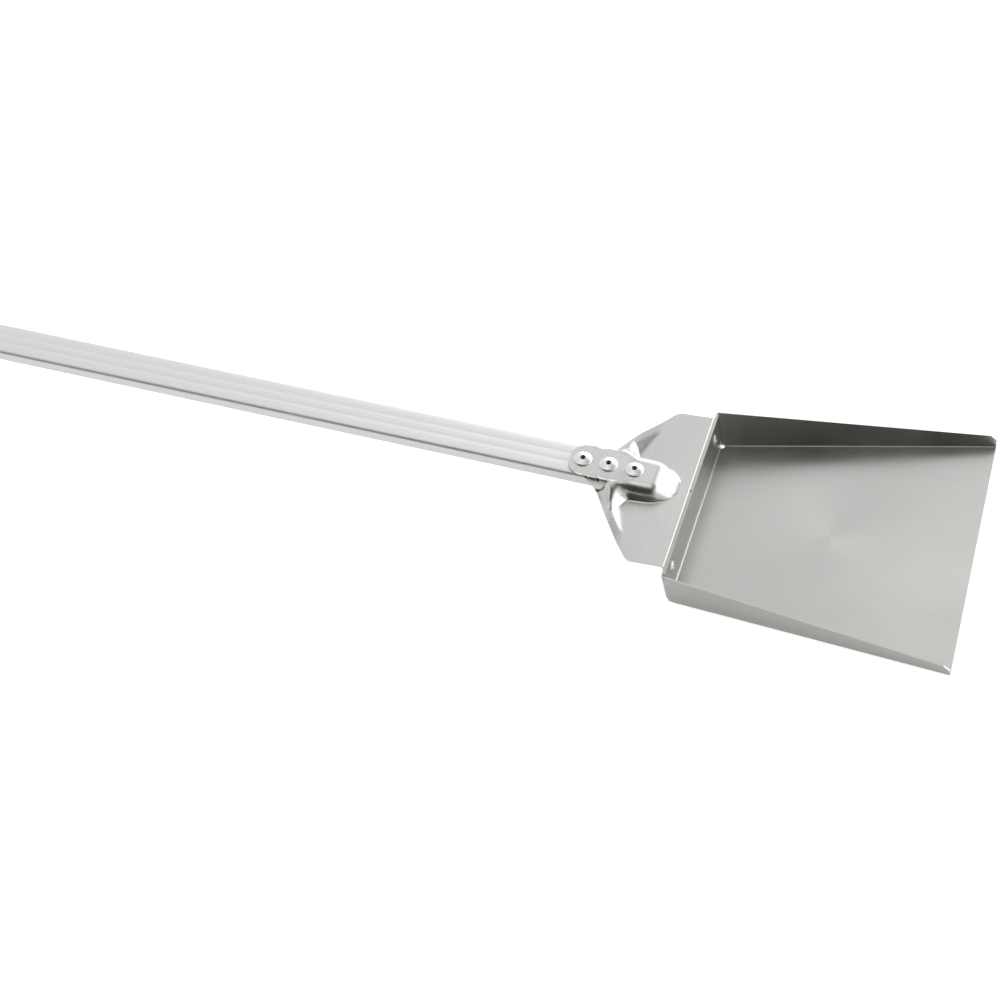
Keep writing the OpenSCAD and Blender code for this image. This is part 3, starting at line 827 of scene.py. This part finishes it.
def build_cap():
    """The plug's visible lip: a rounded cover with a slightly domed face."""
    outline_points = rounded_outline(HANDLE_WIDTH, HANDLE_THICKNESS, HANDLE_EDGE, 0, 10)
    lip_start = HANDLE_END - CAP_LIP
    profile = [(0.0, 0.0), (0.0, CAP_LIP * 0.55)]
    for i in range(1, 9):
        a = pi / 2 * i / 8
        profile.append((1.4 * (1 - cos(a)), CAP_LIP * 0.55 + CAP_LIP * 0.37 * sin(a)))
    profile += [(3.0, CAP_LIP * 0.96), (4.4, CAP_LIP), (5.2, CAP_LIP)]
    points, faces = [], []
    n = len(outline_points)
    for inset, rise in profile:
        for y, up in rounded_outline(HANDLE_WIDTH, HANDLE_THICKNESS, HANDLE_EDGE, inset, 10):
            points.append(on_handle(lip_start + rise, y, up))
    for i in range(len(profile) - 1):
        for k in range(n):
            faces.append([i * n + k, i * n + (k + 1) % n, (i + 1) * n + (k + 1) % n,
                          (i + 1) * n + k])
    faces.append(list(range((len(profile) - 1) * n, len(profile) * n)))
    # the plug inside the tube
    plug_start = lip_start - 18
    base = len(points)
    ring_steps = ((lip_start, 0.0), (plug_start + 1, 0.0), (plug_start, 0.6),
                  (plug_start, 1.8), (lip_start - 1, 1.8))
    for d, inset in ring_steps:
        for y, up in rounded_outline(HANDLE_WIDTH, HANDLE_THICKNESS, HANDLE_EDGE,
                                     HANDLE_WALL + 0.15 + inset, 10):
            points.append(on_handle(d, y, up))
    for i in range(len(ring_steps) - 1):
        for k in range(n):
            faces.append([base + i * n + k, base + i * n + (k + 1) % n,
                          base + (i + 1) * n + (k + 1) % n, base + (i + 1) * n + k])
    last = base + (len(ring_steps) - 1) * n
    faces.append(list(range(last, last + n)))
    # the annulus between lip and plug
    for k in range(n):
        faces.append([k, (k + 1) % n, base + (k + 1) % n, base + k])
    obj = piece("end_plug", points, faces, CAP_PLASTIC, ["handle_end_cap"])
    recalculate(obj)
    obj.data.shade_smooth()
    obj.data.set_sharp_from_angle(angle=radians(40))
    return obj


# ------------------------------------------------------------------- rivets

def lathe(name, profile, place, material, nodes, segments=64):
    """Turns a profile of (radius, height) about the z axis of a place."""
    points, faces, rings = [], [], []
    for radius, height in profile:
        if radius < 1e-6:
            rings.append([len(points)])
            points.append(place @ Vector((0, 0, height)))
        else:
            rings.append(list(range(len(points), len(points) + segments)))
            for k in range(segments):
                a = 2 * pi * k / segments
                points.append(place @ Vector((radius * cos(a), radius * sin(a), height)))
    for low, high in zip(rings, rings[1:]):
        for k in range(segments):
            n = (k + 1) % segments
            corners = [low[k % len(low)], low[n % len(low)], high[n % len(high)],
                       high[k % len(high)]]
            face = [c for i, c in enumerate(corners) if c != corners[i - 1]]
            if len(face) > 2:
                faces.append(face)
    obj = piece(name, points, faces, material, nodes)
    recalculate(obj)
    obj.data.shade_smooth()
    obj.data.set_sharp_from_angle(angle=radians(45))
    return obj


def arc(cx, cz, radius, start, end, steps):
    return [(cx + radius * cos(radians(start + (end - start) * i / steps)),
             cz + radius * sin(radians(start + (end - start) * i / steps)))
            for i in range(steps + 1)]


def rivet_profile(head, rise, rim, shank, bore, bulb, bulb_length, grip):
    """From the bore's foot, up the bore, over the head, down the shank and round the bulb."""
    lip, round_rim, gap = 0.35, 0.3, 0.02
    dome = (head ** 2 + (rise - rim) ** 2) / (2 * (rise - rim))
    span = asin(head / dome)
    tail = grip + bulb_length
    profile = [(bore, -tail), (bore, rise - 1.1)]
    profile += arc(bore + lip, rise - lip - 0.02, lip, 180, 95, 6)
    start = asin((bore + lip) / dome)
    profile += [(dome * sin(t), rise - dome + dome * cos(t))
                for t in spread(start, span * 0.96, 14, 1)]
    profile += arc(head - round_rim, rim - round_rim + 0.05, round_rim, 70, 0, 5)
    profile += arc(head - 0.15, gap + 0.15, 0.15, 0, -90, 3)
    profile += [(shank + 0.2, gap), (shank, -0.1), (shank, -grip)]
    profile += [(shank + (bulb - shank) * sin(radians(a)),
                 -grip - bulb_length * 0.9 * (1 - cos(radians(a))) / 2)
                for a in spread(8, 172, 14)]
    profile += [(shank * 0.98, -tail), (bore, -tail)]
    return profile


def place_on_handle(d):
    origin = on_handle(d, 0, HOOD_GAP + SHEET)
    return Matrix.Translation(origin) @ Matrix.Rotation(HANDLE_SLOPE, 4, "Y")


def mandrel_profile(stem, top, tail, ball):
    """A snapped stem with a ragged cone at its break, and the head that spread the tail."""
    return [(0, -tail - ball), (ball * 0.75, -tail - ball), (ball, -tail - ball * 0.7),
            (ball, -tail - ball * 0.25), (stem, -tail), (stem, top - 0.5),
            (stem * 0.82, top - 0.2), (stem * 0.45, top), (0, top - 0.12)]


def build_rivets():
    grip = HOOD_GAP + SHEET + HANDLE_WALL
    for i in range(3):
        place = place_on_handle(RIVET_FIRST + i * RIVET_PITCH)
        lathe(f"large_rivet_{i + 1}", rivet_profile(8.0, 2.5, 0.9, 3.2, 2.4, 4.6, 3.4, grip),
              place, RIVET_METAL, [f"handle_rivet_{i + 1}"])
        lathe(f"large_stem_{i + 1}", mandrel_profile(2.37, 0.3, grip + 3.42, 2.7),
              place, MANDREL_METAL, [f"handle_mandrel_{i + 1}"])
    grip = BACK_FACE + SHEET
    for side, word in ((1, "left"), (-1, "right")):
        place = Matrix.Translation((BACK_FACE, side * WALL_RIVET_Y, WALL_RIVET_Z)) \
            @ Matrix.Rotation(pi / 2, 4, "Y")
        lathe(f"small_rivet_{word}", rivet_profile(4.6, 1.6, 0.5, 2.4, 1.35, 3.5, 3.2, grip),
              place, RIVET_METAL, [f"wall_rivet_{word}"], 48)
        lathe(f"small_stem_{word}", mandrel_profile(1.32, 0.4, grip + 3.22, 2.0),
              place, MANDREL_METAL, [f"wall_mandrel_{word}"], 48)


# ------------------------------------------------------- studio and camera

VIEW_AZIMUTH = radians(26.8)
VIEW_ELEVATION = radians(44.6)
VIEW_ROLL = radians(-12.5)
VIEW_DISTANCE = 1.590
VIEW_SHIFT_RIGHT = -0.2755
VIEW_SHIFT_UP = 0.0315
LENS = 68.7
FLOOR_GLOW = 0.47


def view_axes():
    """The camera's right, up and backward directions."""
    az, el = VIEW_AZIMUTH, VIEW_ELEVATION
    back = Vector((sin(az) * cos(el), -cos(az) * cos(el), sin(el)))
    right = Vector((cos(az), sin(az), 0))
    up = back.cross(right)
    c, s = cos(VIEW_ROLL), sin(VIEW_ROLL)
    return c * right + s * up, c * up - s * right, back


def build_camera():
    right, up, back = view_axes()
    data = bpy.data.cameras.new("camera")
    data.lens = LENS
    data.sensor_width = 36
    data.clip_end = 60
    camera = bpy.data.objects.new("camera", data)
    spot = right * VIEW_SHIFT_RIGHT + up * VIEW_SHIFT_UP + back * VIEW_DISTANCE
    turn = Matrix((right, up, back)).transposed().to_4x4()
    camera.matrix_world = Matrix.Translation(spot) @ turn
    bpy.context.scene.collection.objects.link(camera)
    bpy.context.scene.camera = camera


def softbox(name, spot, aim, size, power):
    light = bpy.data.lights.new(name, "AREA")
    light.shape = "RECTANGLE"
    light.size, light.size_y = size
    light.energy = power
    lamp = bpy.data.objects.new(name, light)
    spot, aim = Vector(spot), Vector(aim)
    lamp.matrix_world = Matrix.Translation(spot) \
        @ (aim - spot).to_track_quat("-Z", "Y").to_matrix().to_4x4()
    bpy.context.scene.collection.objects.link(lamp)
    return lamp


def build_studio():
    """A white room that is dark behind the camera, an overhead softbox and a bright
    panel at the back right."""
    scene = bpy.context.scene
    world = bpy.data.worlds.new("studio")
    scene.world = world
    world.use_nodes = True
    tree = world.node_tree
    background = tree.nodes["Background"]
    direction = add(tree, "TexCoord").outputs["Generated"]
    parts = add(tree, "SeparateXYZ", {0: direction})
    height = parts.outputs["Z"]

    def lobe(centre, low, high):
        """1 near a direction, falling to 0 further from it."""
        centre = Vector(centre).normalized()
        near = add(tree, "VectorMath", {0: direction, 1: tuple(centre)}, operation="DOT_PRODUCT")
        return add(tree, "MapRange", {0: near.outputs["Value"], 1: low, 2: high},
                   interpolation_type="SMOOTHSTEP").outputs[0]

    def fade(value, start, end):
        return add(tree, "MapRange", {0: value, 1: start, 2: end},
                   interpolation_type="SMOOTHSTEP").outputs[0]

    low = fade(height, 0.67, 0.58)
    panel = math(tree, "MULTIPLY", lobe((0.70, 0.71, 0), 0.40, 0.56), low)
    left = lobe((-0.85, -0.15, 0.55), 0.80, 0.92)
    dark = math(tree, "SUBTRACT", lobe((-0.05, -0.84, 0.55), 0.55, 0.88), left, clamp=True)
    right = math(tree, "MULTIPLY", fade(parts.outputs["X"], -0.05, 0.30),
                 math(tree, "SUBTRACT", 1.0, low))
    level = math(tree, "MULTIPLY_ADD", panel, 1.5, 0.92)
    level = math(tree, "MULTIPLY_ADD", dark, -0.88, level)
    level = math(tree, "MULTIPLY_ADD", right, -0.66, level)
    level = math(tree, "MULTIPLY_ADD", fade(height, 0.70, 0.80), -0.12, level)
    level = math(tree, "MAXIMUM", level, 0.04)
    seen = add(tree, "LightPath").outputs["Is Camera Ray"]
    strength = add(tree, "Mix", {0: seen, 2: level, 3: 1.0}, data_type="FLOAT").outputs[0]
    tree.links.new(strength, background.inputs["Strength"])
    warm = math(tree, "SUBTRACT", dark, seen, clamp=True)
    tree.links.new(tint(tree, warm, (1, 1, 1), (1, 0.80, 0.68)), background.inputs["Color"])
    softbox("overhead", (0.1, 0.1, 1.9), (0, 0, 0), (1.5, 1.2), 3)

    floor = bpy.data.meshes.new("floor")
    reach = 14
    floor.from_pydata([(-reach, -reach, -0.0004), (reach, -reach, -0.0004),
                       (reach, reach, -0.0004), (-reach, reach, -0.0004)], [], [(0, 1, 2, 3)])
    material, tree, shader = node_tree("pale_floor")
    shader.inputs["Base Color"].default_value = (0.92, 0.92, 0.92, 1)
    shader.inputs["Roughness"].default_value = 0.9
    shader.inputs["Specular IOR Level"].default_value = 0.0
    glow = math(tree, "MULTIPLY_ADD", add(tree, "LightPath").outputs["Is Camera Ray"],
                FLOOR_GLOW, 0.28)
    shader.inputs["Emission Color"].default_value = (1, 1, 1, 1)
    tree.links.new(glow, shader.inputs["Emission Strength"])
    floor.materials.append(material)
    obj = bpy.data.objects.new("floor", floor)
    scene.collection.objects.link(obj)
    scene.view_settings.view_transform = "Standard"


build_camera()
build_studio()
build_pan()
build_bracket()
build_handle()
build_cap()
build_rivets()
